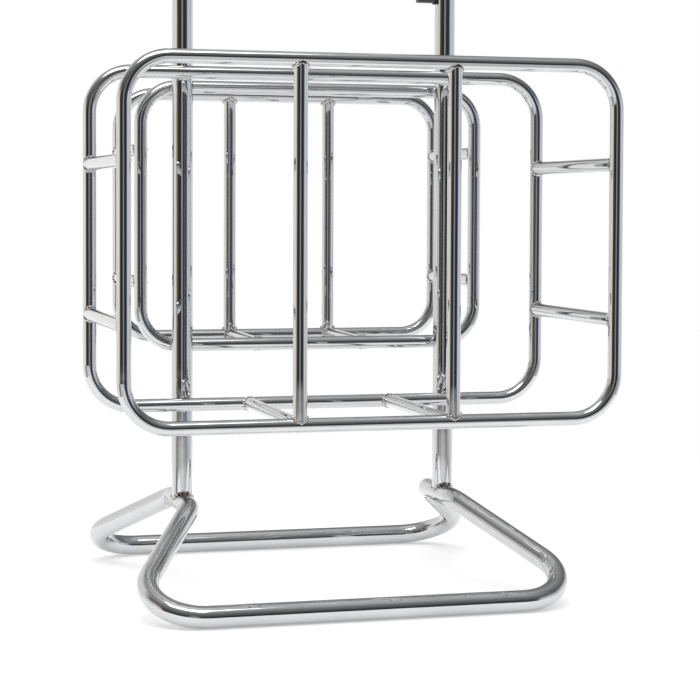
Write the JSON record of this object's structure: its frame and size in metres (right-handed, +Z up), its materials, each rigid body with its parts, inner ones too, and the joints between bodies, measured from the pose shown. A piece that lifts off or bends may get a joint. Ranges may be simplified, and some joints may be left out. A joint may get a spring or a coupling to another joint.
{
  "type": "carry-on baggage gauge stand",
  "caption": "Free-standing baggage gauge: welded chrome tube cages, open at the top, on a leg hoop and looped floor base, with a blank sign panel.",
  "frame": {"origin": "on the floor, midway between the two legs", "axes": "+Z is up; -Y is the front of the stand, where the large cage is; +X is to the right of a viewer who stands in front of it and looks along +Y"},
  "size_m": [0.582, 0.5366, 1.24],
  "materials": {
    "chrome": "bright chrome plate",
    "sign_panel": "smooth satin, blank",
    "sign_clip": "satin dark grey",
    "clip_saddle": "dull",
    "fastener": "plain"
  },
  "bodies": {
    "root": {"base_loop": "chrome", "leg_hoop": "chrome", "main_front_frame": "chrome", "main_rear_frame": "chrome", "small_near_frame": "chrome", "small_far_frame": "chrome", "main_front_bar_left": "chrome", "main_floor_bar_left": "chrome", "main_upper_rail_left": "chrome", "main_lower_rail_left": "chrome", "small_far_bar_left": "chrome", "small_floor_bar_left": "chrome", "small_upper_rail_left": "chrome", "small_lower_rail_left": "chrome", "main_front_bar_right": "chrome", "main_floor_bar_right": "chrome", "main_upper_rail_right": "chrome", "main_lower_rail_right": "chrome", "small_far_bar_right": "chrome", "small_floor_bar_right": "chrome", "small_upper_rail_right": "chrome", "small_lower_rail_right": "chrome", "sign_panel": "sign_panel", "sign_clip_upper_left": "sign_clip", "sign_clip_lower_left": "sign_clip", "sign_clip_upper_right": "sign_clip", "sign_clip_lower_right": "sign_clip", "clip_saddles": "clip_saddle", "clip_studs": "fastener", "clamp_screws": "fastener"}
  },
  "joints": []
}
